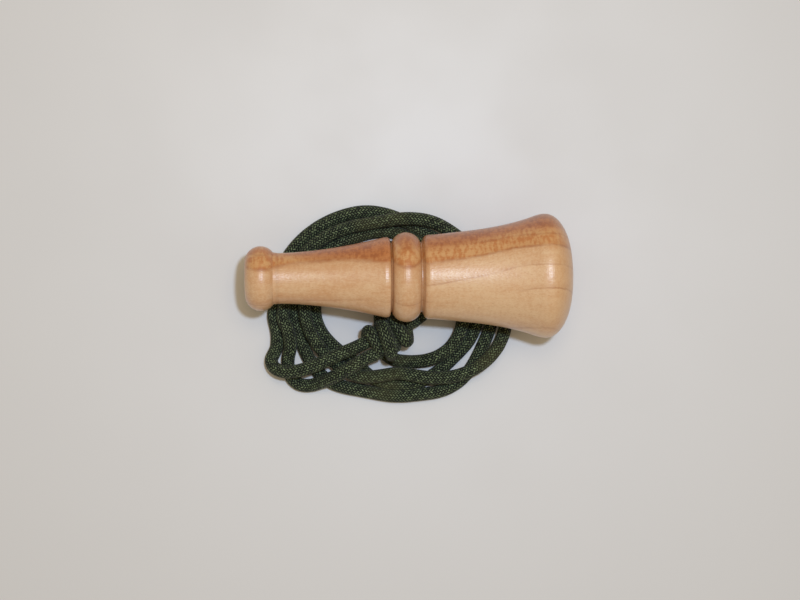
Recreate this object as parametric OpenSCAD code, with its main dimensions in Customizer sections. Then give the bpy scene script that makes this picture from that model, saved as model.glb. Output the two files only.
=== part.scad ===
// Turned wooden bird call lying on its coiled neck lanyard.
// The call is a mouthpiece that plugs into a barrel with a flared bell. A brass
// tongue on a half-round trough sounds inside, and a braided cord hangs from a
// screw eye under the barrel. The origin is the centre of the mouth opening, on
// the turning axis. +X runs down the axis to the bell, +Z is up and the table
// lies axis_h below the axis. All sizes are in millimetres.

/* [Mouthpiece] */
// Radius of the rounded section of the bead round the mouth
bead_round_r = 4.8; // [3:0.1:6]
// Radius at which the bead's section is centred
bead_ring_r = 5.1; // [4.6:0.1:7]
// Radius of the slender neck behind the bead
neck_r = 7.75; // [7.2:0.05:9]
// Distance from the mouth to the start of the flare
neck_x = 10.2; // [9.8:0.1:14]
// Radius of the flange where the flare ends
flange_r = 12.27; // [11.6:0.05:15]
// Distance from the mouth to the face that meets the barrel
joint_x = 44.5; // [38:0.5:60]
// Rounding of the flange's rim
flange_round = 0.95; // [0.4:0.05:1.5]
// Radius of the air bore at the mouth
mouth_bore_r = 4; // [3:0.1:4.4]
// Length of the air bore at the mouth
mouth_bore_l = 12; // [8:0.5:16]
// Radius of the chamber round the tongue
chamber_r = 5.5; // [5.1:0.05:5.8]

/* [Joint] */
// Radius of the tenon that plugs into the barrel
tenon_r = 7.9; // [7.7:0.05:8.6]
// Length of the tenon
tenon_l = 7.4; // [6.8:0.1:8]
// Radial clearance between the tenon and its socket
tenon_clear = 0.1; // [0.05:0.01:0.3]
// Radius of the rubber rings' section
seal_round_r = 0.6; // [0.4:0.05:0.8]
// Clearance between a rubber ring and the socket
seal_clear = 0.03; // [0.02:0.01:0.05]

/* [Barrel] */
// Radius of the rounded section of the ring bead
ring_round_r = 4.75; // [3.5:0.05:5.5]
// Radius at which the ring bead's section is centred
ring_ring_r = 9; // [8.9:0.1:10.5]
// Radius at the bottom of the groove behind the ring bead
groove_r = 10.7; // [10.4:0.1:11.4]
// Radius of the barrel's shoulder behind the groove
shoulder_r = 12.95; // [12.6:0.05:15]
// Greatest radius of the bell
bell_r = 19.1; // [17:0.1:24]
// Overall length of the call
call_l = 100; // [90:0.5:130]
// Length of the rounded end of the bell
bell_end_l = 7.8; // [5:0.1:10]
// Radius of the bore down the bell
exit_bore_r = 5; // [4.6:0.1:5.6]
// Radius of the seat of the reed block
seat_r = 6; // [5.6:0.05:6.4]

/* [Sound unit] */
// Length of the reed block
block_l = 13.6; // [11:0.1:16]
// Radius of the reed block's front bore
block_bore_r = 4.6; // [4.2:0.05:4.9]
// Radius of the channel along the trough
trough_channel_r = 3.2; // [2.6:0.1:3.6]
// Reach of the trough ahead of the reed block
trough_reach = 20; // [14:0.5:26]
// Height of the trough's flat above the axis
trough_flat_z = 0.4; // [0:0.1:1]
// Width of the tongue
tongue_w = 7.6; // [6.8:0.1:8.2]
// Thickness of the tongue
tongue_t = 0.25; // [0.15:0.01:0.4]
// Rise of the tongue's free tip off the trough
tongue_rise = 0.8; // [0.3:0.1:1.4]
// Length of the cork wedge
wedge_l = 10; // [7:0.5:11]

/* [Screw eye] */
// Radius of the screw eye's wire
eye_wire_r = 0.55; // [0.4:0.05:0.7]
// Inner radius of the eye
eye_inner_r = 2.2; // [2.15:0.05:3]
// Radius of the threaded shank
shank_r = 0.8; // [0.6:0.05:1]
// Depth of the shank in the wood
shank_depth = 4; // [3:0.1:4.2]

/* [Lanyard] */
// Diameter of the braided cord
cord_d = 4; // [3:0.1:4.2]
// Height of the call's axis above the table
axis_h = 20.3; // [20:0.1:24]
// Spacing of neighbouring strands in the coil, centre to centre
strand_pitch = 4.6; // [4.56:0.01:5]
// Half of the coil's length, to the middle of its bundle
coil_half_l = 28.8; // [28:0.1:32]
// Half of the coil's width, to the middle of its bundle
coil_half_w = 22.9; // [22.6:0.1:26]

/* [Hidden] */
$fn = 96;
table_z = -axis_h;
overrun = 1;

wood = [0.75, 0.54, 0.36];
rubber = [0.08, 0.08, 0.08];
maple = [0.86, 0.76, 0.58];
brass = [0.80, 0.64, 0.32];
cork = [0.72, 0.55, 0.38];
olive = [0.17, 0.20, 0.13];

// Mouthpiece outline
bead_join_r = neck_r + 0.25;
bead_join_a = asin((bead_join_r - bead_ring_r) / bead_round_r);
flare_end_x = joint_x - 2 * flange_round;
flare_power = 1.73;
joint_r = groove_r + 0.2;
mouth_lip = 0.4;
chamber_taper_l = 3;
tenon_end_x = joint_x + tenon_l;
tenon_chamfer = 0.4;
socket_r = tenon_r + tenon_clear;
socket_end_x = tenon_end_x + 0.3;
seal_ring_r = socket_r - seal_clear - seal_round_r;
seal_w = 2 * seal_round_r + 0.1;
seal_floor_r = seal_ring_r - seal_round_r - 0.02;
seal_x = [joint_x + tenon_l * 0.32, joint_x + tenon_l * 0.72];

// Barrel outline
ring_x = joint_x + ring_round_r + 0.05;
ring_start_a = 159;
ring_end_a = 21;
groove_x = ring_x + ring_round_r - 0.1;
groove_rise = 0.66;
shoulder_round = 1.85;
shoulder_x = groove_x + eye_wire_r + shoulder_round;
crown_x = call_l - bell_end_l;
taper_x = shoulder_x + 0.6;
flank_l = crown_x - taper_x;
crown_l = 3.7;
crown_drop = 0.8;
exit_round = 0.6;
lip_stop_a = 6;
block_x = socket_end_x + 0.2;
block_end_x = block_x + block_l;
block_exit_r = exit_bore_r - 1.4;
block_rear_l = 2;

// Sound unit
trough_tip_x = block_x - trough_reach;
trough_end_x = block_end_x - block_rear_l;
trough_tip_round = 1.6;
trough_tip_wall = 2.4;
tongue_tip_x = trough_tip_x + 0.6;
tongue_end_x = trough_end_x - 1.2;
wedge_x = block_x + 0.4;
tongue_top_z = trough_flat_z + tongue_t;

// Screw eye
eye_ring_r = eye_inner_r + eye_wire_r;
eye_drop = 1.2;
eye_z = -(groove_r + eye_drop + eye_ring_r + eye_wire_r);
shank_foot_z = eye_z + eye_ring_r - eye_wire_r / 2;
shank_top_z = shank_depth - groove_r;

// Coil, seen from above: two legs of one cord lie side by side and wind in
// clockwise, and a link across the eye of the coil joins their inner ends.
cord_r = cord_d / 2;
cord_base_z = table_z + 0.8 * cord_r;
coil_x = 45.5;
coil_y = -9.6;
coil_tilt = -11;
coil_start_a = 188;
coil_steps = 24;
legs_first = 1;
leg_a_steps = 52;
leg_b_steps = 42;
bundle_middle = 2.4;
nest_share = 0.3;
nest_a = 195;
nest_before_a = 45;
nest_after_a = 85;
crowd_share = 0.016;
ride_share = 1.1;
ride_reach = 0.03;
overlap_before = 0.15;
overlap_after = 0.1;
link_r = 6.5;

// Where a leg changes places in the bundle: turns, length in turns, places inwards
leg_a_swaps = [[0.2, 0.12, 1], [0.54, 0.14, -1], [1.54, 0.14, -1], [1.77, 0.12, 1]];
leg_b_swaps = [[0.2, 0.12, -1], [0.56, 0.2, 2], [0.79, 0.12, -1]];

// Routes of the cord's free stretches: x, y and height above the table
lead_a_route = [
    [38.8, -19.2, 9.4], [34.5, -21.4, 9.6], [28.6, -23.8, 10.0], [22.5, -26.2, 9.7], [17.0, -28.0, 8.8],
    [12.2, -28.8, 7.2], [8.4, -27.6, 4.8], [7.0, -25.2, 2.8], [8.2, -22.0, 1.9], [9.2, -18.6, 1.7],
    [9.3, -15.4, 1.6],
];
lead_b_route = [
    [41.4, -23.2, 10.2], [37.4, -24.8, 11.2], [32.4, -27.6, 11.2], [27.6, -31.0, 9.0], [23.6, -33.4, 4.6],
    [19.8, -34.6, 2.2], [16.4, -34.2, 1.9], [14.2, -31.6, 1.8], [13.8, -28.2, 1.8], [14.0, -24.8, 2.6],
    [13.6, -20.6, 4.2], [12.8, -16.0, 5.2],
];
bight_route = [
    [49.0, -15.2, 8.6], [54.0, -12.6, 6.0], [58.0, -8.0, 4.5], [58.0, -2.8, 4.6],
    [54.0, 0.0, 5.1], [49.8, -2.4, 4.4], [47.0, -7.0, 5.0], [45.8, -12.4, 7.8],
];
knot_place = [44.0, -18.2, 10.0];
knot_turn = 18;
knot_wrap_x = [-4.3, 0, 4.3];
knot_wrap_r = [3.2, 3.9, 3.3];
knot_core_r = 3.4;
knot_flat_share = 0.75;
tail_route = [[45.8, -22.8, 11.4], [46.0, -24.6, 11.4], [46.1, -26.4, 11.2]];

function arc(cx, cr, rx, rr, a0, a1, n) =
    [for (i = [0:n]) let (a = a0 + (a1 - a0) * i / n) [cx + rx * cos(a), cr + rr * sin(a)]];

function bezier(p, n) =
    [for (i = [0:n]) let (t = i / n, s = 1 - t)
        p[0] * s * s * s + p[1] * 3 * s * s * t + p[2] * 3 * s * t * t + p[3] * t * t * t];

// Revolves an outline of [distance from the mouth, radius] about the axis
module turned(outline) {
    rotate([0, 90, 0])
        rotate_extrude()
            polygon([for (p = outline) [p[1], p[0]]]);
}

module along_axis(x, r, l) {
    translate([x, 0, 0])
        rotate([0, 90, 0])
            cylinder(r = r, h = l);
}

function flare(n) =
    [for (i = [0:n]) let (s = i / n)
        [neck_x + (flare_end_x - neck_x) * s, neck_r + (flange_r - neck_r) * pow(s, flare_power)]];

function seal_notch(x) = [
    [x - seal_w / 2, tenon_r], [x - seal_w / 2, seal_floor_r],
    [x + seal_w / 2, seal_floor_r], [x + seal_w / 2, tenon_r],
];

module mouthpiece() {
    color(wood) turned(concat(
        [[mouth_lip, mouth_bore_r], [0, mouth_bore_r + mouth_lip]],
        arc(bead_round_r, bead_ring_r, bead_round_r, bead_round_r, 180, bead_join_a, 20),
        flare(18),
        arc(joint_x - flange_round - 0.1, flange_r - flange_round, flange_round, flange_round, 90, 0, 6),
        [[joint_x, joint_r], [joint_x, tenon_r]],
        seal_notch(seal_x[0]),
        seal_notch(seal_x[1]),
        [[tenon_end_x - tenon_chamfer, tenon_r], [tenon_end_x, tenon_r - tenon_chamfer]],
        [[tenon_end_x, chamber_r], [mouth_bore_l + chamber_taper_l, chamber_r]],
        [[mouth_bore_l, mouth_bore_r]]
    ));
}

module tenon_rings() {
    color(rubber)
        for (x = seal_x)
            translate([x, 0, 0])
                rotate([0, 90, 0])
                    rotate_extrude()
                        translate([seal_ring_r, 0])
                            circle(r = seal_round_r, $fn = 24);
}

function flank() = bezier([
    [taper_x, shoulder_r],
    [taper_x + flank_l * 0.4, shoulder_r + (bell_r - shoulder_r) * 0.2],
    [taper_x + flank_l * 0.65, shoulder_r + (bell_r - shoulder_r) * 0.37],
    [crown_x - crown_l, bell_r - crown_drop],
], 20);

function crown() = bezier([
    [crown_x - crown_l, bell_r - crown_drop],
    [crown_x - crown_l * 0.6, bell_r - crown_drop * 0.3],
    [crown_x - crown_l * 0.32, bell_r],
    [crown_x, bell_r],
], 6);

module barrel() {
    color(wood) difference() {
        turned(concat(
            [[socket_end_x, seat_r], [socket_end_x, socket_r], [joint_x, socket_r]],
            [[joint_x, joint_r - 0.4]],
            arc(ring_x, ring_ring_r, ring_round_r, ring_round_r, ring_start_a, ring_end_a, 18),
            [[groove_x, groove_r], [groove_x + eye_wire_r, groove_r + groove_rise]],
            arc(shoulder_x, shoulder_r - shoulder_round, shoulder_round, shoulder_round, 170, 90, 6),
            flank(),
            crown(),
            arc(crown_x, exit_bore_r, bell_end_l, bell_r - exit_bore_r, 86, lip_stop_a, 16),
            arc(call_l - exit_round, exit_bore_r + exit_round, exit_round, exit_round, 0, -90, 4),
            [[block_end_x, exit_bore_r], [block_end_x, seat_r]]
        ));
        translate([groove_x, 0, -groove_r - overrun])
            cylinder(r = shank_r, h = shank_depth + overrun, $fn = 24);
    }
}

module reed_block() {
    color(maple) turned([
        [block_x, block_bore_r], [block_x, seat_r], [block_end_x, seat_r],
        [block_end_x, block_exit_r], [trough_end_x, block_exit_r], [trough_end_x, block_bore_r],
    ]);
}

module tone_trough() {
    color(brass) difference() {
        turned(concat(
            [[trough_tip_x, 0]],
            arc(trough_tip_x + trough_tip_round, block_bore_r - trough_tip_round,
                trough_tip_round, trough_tip_round, 180, 90, 6),
            [[trough_end_x, block_bore_r], [trough_end_x, 0]]
        ));
        along_axis(trough_tip_x + trough_tip_wall, trough_channel_r, trough_end_x - trough_tip_x);
        translate([trough_tip_x - overrun, -block_bore_r - overrun, trough_flat_z])
            cube([trough_end_x - trough_tip_x + 2 * overrun, 2 * (block_bore_r + overrun), 2 * block_bore_r]);
    }
}

// Height of the tongue's underside at a distance from the mouth
function tongue_z(x) =
    trough_flat_z + (x < block_x ? tongue_rise * pow((block_x - x) / (block_x - tongue_tip_x), 2) : 0);

module tongue() {
    steps = 12;
    free_xs = [for (i = [0:steps]) tongue_tip_x + (block_x - tongue_tip_x) * i / steps];
    under = concat([for (x = free_xs) [x, tongue_z(x)]], [[tongue_end_x, trough_flat_z]]);
    over = [for (i = [len(under) - 1:-1:0]) [under[i][0], under[i][1] + tongue_t]];
    color(brass)
        translate([0, tongue_w / 2, 0])
            rotate([90, 0, 0])
                linear_extrude(tongue_w)
                    polygon(concat(under, over));
}

module wedge() {
    color(cork) intersection() {
        along_axis(wedge_x, block_bore_r, wedge_l);
        translate([wedge_x - overrun, -block_bore_r - overrun, tongue_top_z])
            cube([wedge_l + 2 * overrun, 2 * (block_bore_r + overrun), block_bore_r]);
    }
}

module screw_eye() {
    color(brass) {
        translate([groove_x, 0, eye_z])
            rotate([0, 90, 0])
                rotate_extrude()
                    translate([eye_ring_r, 0])
                        circle(r = eye_wire_r, $fn = 24);
        translate([groove_x, 0, shank_foot_z])
            cylinder(r = shank_r, h = shank_top_z - shank_foot_z, $fn = 24);
    }
}

// Distance from the coil's centre to the middle of its bundle, at an angle
function bundle_r(a) =
    coil_half_l * coil_half_w
    / norm([coil_half_w * cos(a - coil_tilt), coil_half_l * sin(a - coil_tilt)]);

function smooth(s) = let (c = max(0, min(1, s))) c * c * (3 - 2 * c);

function sum(list) = [for (v = list) 1] * list;

// Spacing of the strands seen from above, nested where the bundle is narrow
function strand_step(a) =
    let (b = a - nest_a, off = b - 360 * round(b / 360))
    strand_pitch * (1 - nest_share * (1 - smooth(off > 0 ? off / nest_before_a : -off / nest_after_a)));

// Place of a leg in the bundle, counted inwards in strands
function place(turns, first, swaps) =
    2 * turns + first + sum([for (s = swaps) s[2] * smooth((turns - s[0]) / s[1])]);

function place_a(turns) = place(turns, 0, leg_a_swaps);
function place_b(turns) = place(turns, 1, leg_b_swaps);

// Least distance, in strands, from the second leg to the first one below it
function strands_off(turns) = min([
    for (k = [-2:2])
        for (e = [-ride_reach, 0, ride_reach])
            let (t = turns + e + k)
            if (t >= -overlap_before && t <= leg_a_steps / coil_steps + overlap_after)
                abs(place_b(turns + e) - place_a(t))
]);

// Point on a leg after some turns; the second leg rides over the first
function strand(turns, second) =
    let (a = coil_start_a - 360 * turns)
    let (step = strand_step(a))
    let (place = second ? place_b(turns) : place_a(turns))
    let (r = bundle_r(a) + (bundle_middle - place - crowd_share * place * place) * step)
    let (off = second ? strands_off(turns) * step : strand_pitch)
    let (lift = ride_share * sqrt(max(0, strand_pitch * strand_pitch - off * off)))
    [coil_x + r * cos(a), coil_y + r * sin(a), cord_base_z + lift];

function unit(v) = v / norm(v);

function heading(p, q) = let (d = q - p) atan2(d[1], d[0]);

// Flat arc that leaves a point along a heading and turns by an angle
function turn_from(p, from_a, by, r, n) =
    let (side = by > 0 ? 1 : -1)
    let (c = p + r * [-sin(from_a) * side, cos(from_a) * side, 0])
    [for (i = [1:n]) let (a = from_a + by * i / n)
        c + r * [sin(a) * side, -cos(a) * side, 0]];

leg_a = [for (i = [legs_first:leg_a_steps]) strand(i / coil_steps, false)];
leg_b = [for (i = [legs_first:leg_b_steps]) strand(i / coil_steps, true)];

function right_turn(from_a, to_a) = -((from_a - to_a + 720) % 360);

// The link leaves leg a, crosses the eye of the coil under the call and the
// knot, and turns into leg b
leg_a_end = leg_a[len(leg_a) - 1];
leg_b_end = leg_b[len(leg_b) - 1];
leg_a_heading = heading(leg_a[len(leg_a) - 2], leg_a_end);
leg_b_heading = heading(leg_b[len(leg_b) - 2], leg_b_end);
link_first = turn_from(leg_a_end, leg_a_heading, right_turn(leg_a_heading, -90), link_r, 6);
link_back = turn_from(leg_b_end, leg_b_heading, right_turn(leg_b_heading, 90), link_r, 5);

function reversed(list) = [for (i = [len(list) - 1:-1:0]) list[i]];

coil_path = concat(
    [leg_a[0] + unit(leg_a[0] - leg_a[1]) * cord_d],
    leg_a, link_first, reversed(link_back), reversed(leg_b),
    [leg_b[0] + unit(leg_b[0] - leg_b[1]) * cord_d]
);

// Least distance between stretches of the coil that are not neighbours
coil_gap = min([
    for (i = [0:len(coil_path) - 1])
        for (j = [i + 6:1:len(coil_path) - 1])
            norm(coil_path[i] - coil_path[j])
]) - cord_d;
echo(least_gap_in_coil = coil_gap);

function path_length(path) = sum([for (i = [1:len(path) - 1]) norm(path[i] - path[i - 1])]);
echo(coil_length = path_length(coil_path));

function tangent(path, i) =
    unit(path[min(i + 1, len(path) - 1)] - path[max(i - 1, 0)]);

function ring(p, t, r, sides) =
    let (side = unit(cross(t, [0, 0, 1])))
    let (up = cross(side, t))
    [for (k = [0:sides - 1]) let (a = 360 * k / sides)
        let (v = p + r * cos(a) * side + r * sin(a) * up)
        [v[0], v[1], max(v[2], table_z)]];

// One closed tube of triangles along a path, flat where it lies on the table
module tube(path, r, sides) {
    n = len(path);
    points = [for (i = [0:n - 1]) each ring(path[i], tangent(path, i), r, sides)];
    walls = [for (i = [0:n - 2]) for (k = [0:sides - 1])
        let (a = i * sides + k, b = i * sides + (k + 1) % sides)
        each [[a, a + sides, b], [b, a + sides, b + sides]]];
    first = [for (k = [1:sides - 2]) [0, k, k + 1]];
    last_ring = (n - 1) * sides;
    last = [for (k = [1:sides - 2]) [last_ring, last_ring + k + 1, last_ring + k]];
    polyhedron(points = points, faces = concat(walls, first, last), convexity = 10);
}

// Smooth curve through the points of a route
function curve(route, n) =
    [for (i = [0:len(route) - 2]) for (k = [0:n - 1])
        let (p0 = route[max(i - 1, 0)], p1 = route[i], p2 = route[i + 1])
        let (p3 = route[min(i + 2, len(route) - 1)], t = k / n)
        0.5 * (2 * p1 + (p2 - p0) * t + (2 * p0 - 5 * p1 + 4 * p2 - p3) * t * t
            + (3 * p1 - p0 - 3 * p2 + p3) * t * t * t)];

function on_table(route) = [for (p = route) [p[0], p[1], p[2] + table_z]];

module lanyard_coil() {
    color(olive) tube(coil_path, cord_r, 6);
}

// A lead runs from the knot to the end of its leg of the coil
function lead(route, leg) =
    let (last = leg[0] + unit(leg[0] - leg[1]) * cord_d)
    let (before = last + unit(leg[0] - leg[1]) * cord_r)
    concat(curve(concat(on_table(route), [before, last]), 2), [last]);

module lanyard_lead_a() {
    color(olive) tube(lead(lead_a_route, leg_a), cord_r, 8);
}

module lanyard_lead_b() {
    color(olive) tube(lead(lead_b_route, leg_b), cord_r, 8);
}

module lanyard_bight() {
    route = on_table(bight_route);
    color(olive) tube(concat(curve(route, 2), [route[len(route) - 1]]), cord_r, 8);
}

module lanyard_knot() {
    color(olive)
        translate(knot_place + [0, 0, table_z])
            scale([1, 1, knot_flat_share])
                rotate([0, 0, knot_turn]) rotate([0, 90, 0]) {
                    for (i = [0:2])
                        translate([0, 0, knot_wrap_x[i]])
                            rotate_extrude()
                                translate([knot_wrap_r[i], 0])
                                    circle(r = cord_r, $fn = 24);
                    translate([0, 0, knot_wrap_x[0]])
                        cylinder(r = knot_core_r, h = knot_wrap_x[2] - knot_wrap_x[0]);
                }
}

module lanyard_tail() {
    color(olive) tube(on_table(tail_route), cord_r, 8);
}

mouthpiece();
tenon_rings();
barrel();
reed_block();
tone_trough();
tongue();
wedge();
screw_eye();
lanyard_coil();
lanyard_lead_a();
lanyard_lead_b();
lanyard_bight();
lanyard_knot();
lanyard_tail();
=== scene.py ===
"""Dresses the turned wooden bird call that lies on its coiled, braided neck lanyard.

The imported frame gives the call's turned parts and its sound unit. This script adds the
camera, the studio, the cord with its braid, the knot and the finishes. Lengths in the
classes are in millimetres, as a turner would give them, and become metres in the meshes.
"""

import logging
import math
from collections.abc import Sequence
from dataclasses import dataclass, field
from enum import Enum

import bpy
import numpy as np
from mathutils import Matrix, Vector

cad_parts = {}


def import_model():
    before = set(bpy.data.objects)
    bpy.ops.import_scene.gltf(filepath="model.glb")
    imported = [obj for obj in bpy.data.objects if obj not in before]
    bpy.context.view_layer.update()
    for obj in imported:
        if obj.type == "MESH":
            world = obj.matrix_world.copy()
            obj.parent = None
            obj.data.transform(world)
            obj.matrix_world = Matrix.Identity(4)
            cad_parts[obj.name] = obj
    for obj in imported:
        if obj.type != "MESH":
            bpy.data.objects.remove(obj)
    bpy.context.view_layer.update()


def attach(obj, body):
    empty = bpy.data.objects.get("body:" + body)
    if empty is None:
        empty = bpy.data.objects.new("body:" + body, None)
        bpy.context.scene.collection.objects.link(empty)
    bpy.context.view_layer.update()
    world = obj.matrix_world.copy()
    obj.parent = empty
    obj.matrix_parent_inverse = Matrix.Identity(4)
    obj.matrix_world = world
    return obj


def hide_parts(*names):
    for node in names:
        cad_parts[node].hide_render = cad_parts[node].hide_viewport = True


LOG = logging.getLogger("bird_call")
MM = 0.001
AXIS_HEIGHT = 20.3  # the turning axis above the table
ROUNDING = 1.2  # how far to each side the corners of a cord's route are rounded off
FEWEST_STEPS = 4  # for the shortest line
BARREL = "barrel"  # the body that carries the lanyard

Socket = bpy.types.NodeSocket
Point = tuple[float, float, float]
Curve = tuple[tuple[float, float], ...]


@dataclass(frozen=True)
class Shift:
    """A stretch where a leg leaves its place in the bundle, for good or only for a moment."""

    at: float  # turns from the outer end
    over: float  # turns that a change for good takes, or turns to each side
    places: float  # strands inwards


class Leg(Enum):
    """The two legs of the doubled cord as they wind in."""

    LOWER = 0
    UPPER = 1


def linear(colour: str) -> tuple[float, float, float, float]:
    """Turns an sRGB hex colour into the linear values that a socket takes.

    Args:
        colour: Six hex digits after a hash sign.

    Returns:
        Linear red, green and blue, with full alpha.
    """
    parts = [int(colour[i : i + 2], 16) / 255 for i in (1, 3, 5)]
    light = [c / 12.92 if c <= 0.04045 else ((c + 0.055) / 1.055) ** 2.4 for c in parts]
    return (light[0], light[1], light[2], 1.0)


def add(
    tree: bpy.types.NodeTree, kind: str, inputs: dict | None = None, **settings: object,
) -> bpy.types.Node:
    """Adds one node, sets its properties and fills or wires its inputs.

    Args:
        tree: The node tree that takes the node.
        kind: Blender's name for the kind of node.
        inputs: Values or output sockets, by input name or number.
        settings: Properties of the node.

    Returns:
        The new node.
    """
    node = tree.nodes.new(kind)
    for name, value in settings.items():
        setattr(node, name, value)
    for socket, value in (inputs or {}).items():
        if isinstance(value, Socket):
            tree.links.new(value, node.inputs[socket])
        else:
            node.inputs[socket].default_value = value
    return node


@dataclass(frozen=True)
class Pattern:
    """Soft noise, drawn out along the call where `along` is less than `across`."""

    along: float  # blots to each millimetre along the call
    across: float  # blots to each millimetre across it
    detail: float = 2.0
    rough: float = 0.5
    swing: float = 1.0  # weight where it is centred on 0


class Sums:
    """Short ways to write arithmetic inside one node tree."""

    def __init__(self, tree: bpy.types.NodeTree) -> None:
        """Keeps the tree that the arithmetic goes into."""
        self.tree = tree

    def __call__(self, what: str, a: object, b: object = 0.0) -> Socket:
        """Adds one step of arithmetic and gives its output."""
        return add(self.tree, "ShaderNodeMath", {0: a, 1: b}, operation=what).outputs[0]

    def total(self, *values: object) -> Socket:
        """Adds values up, from the first to the last."""
        result = values[0]
        for value in values[1:]:
            result = self("ADD", result, value)
        return result

    def centred(self, value: Socket, weight: float) -> Socket:
        """Centres a value from 0 to 1 on 0 and weights it."""
        return self("MULTIPLY", self("SUBTRACT", value, 0.5), weight)

    def arch(self, value: Socket) -> Socket:
        """Turns a value from 0 to 1 into a round arch, 0 at both ends and 1 midway."""
        off = self("ABSOLUTE", self("SUBTRACT", self("MULTIPLY", value, 2.0), 1.0))
        return self("SUBTRACT", 1.0, self("POWER", off, 2.0))

    def ramp(
        self, value: Socket, low: float, high: float, to_low: float = 0.0, to_high: float = 1.0,
    ) -> Socket:
        """Maps a value smoothly from one range to another, held at its ends."""
        node = add(
            self.tree, "ShaderNodeMapRange",
            {"Value": value, "From Min": low, "From Max": high, "To Min": to_low, "To Max": to_high},
            interpolation_type="SMOOTHSTEP",
        )
        return node.outputs["Result"]

    def near(self, value: Socket, middle: float, edge: float, full: float, most: float = 1.0) -> Socket:
        """Rises from 0 at `edge` off a middle value to `most` at `full` off it."""
        return self.ramp(self("ABSOLUTE", self("SUBTRACT", value, middle)), edge, full, 0.0, most)

    def mix(self, share: object, first: object, second: object) -> Socket:
        """Mixes two colours, given as hex or as sockets, by a share."""
        first, second = (linear(c) if isinstance(c, str) else c for c in (first, second))
        node = add(
            self.tree, "ShaderNodeMix", {"Factor": share, 6: first, 7: second},
            data_type="RGBA", clamp_factor=True,
        )
        return node.outputs[2]

    def here(self) -> Socket:
        """Gives the place on the piece, in millimetres."""
        metres = add(self.tree, "ShaderNodeTexCoord").outputs["Object"]
        return self.stretched(metres, (1000.0, 1000.0, 1000.0))

    def parts(self, place: Socket) -> tuple[Socket, Socket, Socket]:
        """Splits a place into its three axes."""
        axes = add(self.tree, "ShaderNodeSeparateXYZ", {0: place})
        return axes.outputs[0], axes.outputs[1], axes.outputs[2]

    def stretched(self, place: Socket, by: Point) -> Socket:
        """Scales a place by its own factor along each axis."""
        return add(self.tree, "ShaderNodeVectorMath", {0: place, 1: by}, operation="MULTIPLY").outputs[0]

    def noise(self, place: Socket, scale: float, detail: float = 2.0, rough: float = 0.5) -> Socket:
        """Gives soft noise at a place, with about `scale` blots to each unit."""
        node = add(
            self.tree, "ShaderNodeTexNoise",
            {"Vector": place, "Scale": scale, "Detail": detail, "Roughness": rough},
        )
        return node.outputs["Fac"]

    def drawn(self, place: Socket, kind: Pattern) -> Socket:
        """Gives the noise of a pattern at a place."""
        stretched = self.stretched(place, (kind.along, kind.across, kind.across))
        return self.noise(stretched, 1.0, kind.detail, kind.rough)

    def swung(self, place: Socket, kind: Pattern) -> Socket:
        """Gives the noise of a pattern, centred on 0 and weighted."""
        return self.centred(self.drawn(place, kind), kind.swing)

    def curve(self, value: Socket, points: Curve) -> Socket:
        """Reads a curve of given points from 0 to 1 on both axes."""
        node = add(self.tree, "ShaderNodeFloatCurve", {"Value": value})
        line = node.mapping.curves[0]
        while len(line.points) < len(points):
            line.points.new(0.5, 0.5)
        for point, place in zip(line.points, points):
            point.location = place
        node.mapping.update()
        return node.outputs["Value"]

    def bump(self, height: Socket, strength: float, depth: float) -> Socket:
        """Gives the normal of a surface whose height varies by about `depth` millimetres."""
        inputs = {"Height": height, "Strength": strength, "Distance": depth * MM}
        return add(self.tree, "ShaderNodeBump", inputs).outputs[0]


@dataclass(frozen=True)
class Finish:
    """A procedural material, named by what it is and how it was made."""

    name: str

    def shader(self, sums: Sums, place: Socket) -> dict:
        """Works out what goes into the material's shader.

        Args:
            sums: Arithmetic of the material's tree.
            place: The place on the piece, in millimetres.

        Returns:
            Inputs of the Principled shader, by name.
        """
        raise NotImplementedError

    def make(self) -> bpy.types.Material:
        """Builds the material.

        Returns:
            The finished material.
        """
        material = bpy.data.materials.new(self.name)
        material.use_nodes = True
        tree = material.node_tree
        tree.nodes.clear()
        sums = Sums(tree)
        surface = add(tree, "ShaderNodeBsdfPrincipled", self.shader(sums, sums.here()))
        add(tree, "ShaderNodeOutputMaterial", {"Surface": surface.outputs["BSDF"]})
        return material


@dataclass(frozen=True)
class RingLine:
    """A growth ring that shows as a thin brown line along part of the call."""

    depth: float  # millimetres across the rings, from the strong line
    start: float  # distance from the mouth
    end: float
    strength: float
    width: float = 0.5


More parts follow.
